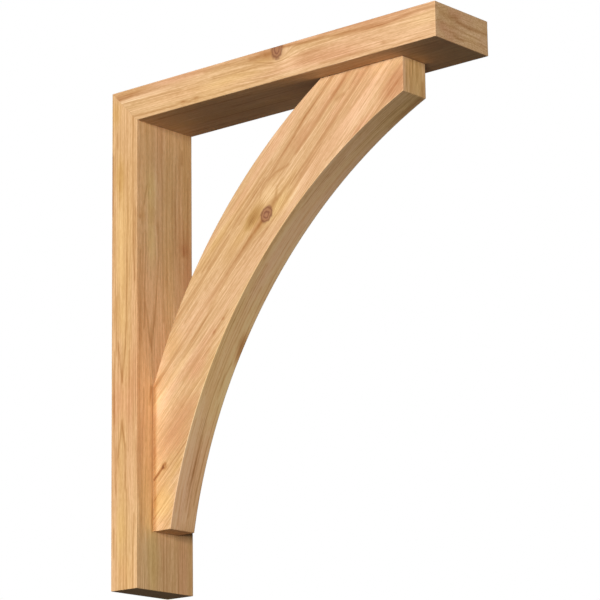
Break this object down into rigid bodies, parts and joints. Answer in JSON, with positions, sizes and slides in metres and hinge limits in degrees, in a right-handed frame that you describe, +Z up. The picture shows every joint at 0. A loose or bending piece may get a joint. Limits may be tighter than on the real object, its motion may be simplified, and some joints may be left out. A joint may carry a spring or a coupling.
{
  "type": "wooden corbel bracket",
  "caption": "Arched wooden bracket: a wall post and a mitred top plate joined by a curved brace, made to carry an eave, beam or shelf.",
  "frame": {"origin": "middle of the post's back face, which lies flat against the wall", "axes": "+Z up; +Y points into the wall, so the bracket stands out towards -Y; X runs along its width"},
  "size_m": [0.0888, 0.4572, 0.5588],
  "materials": {
    "cedar": "unstained western red cedar, sanded smooth"
  },
  "bodies": {
    "root": {"post": "cedar", "top_plate": "cedar", "brace": "cedar"}
  },
  "joints": []
}
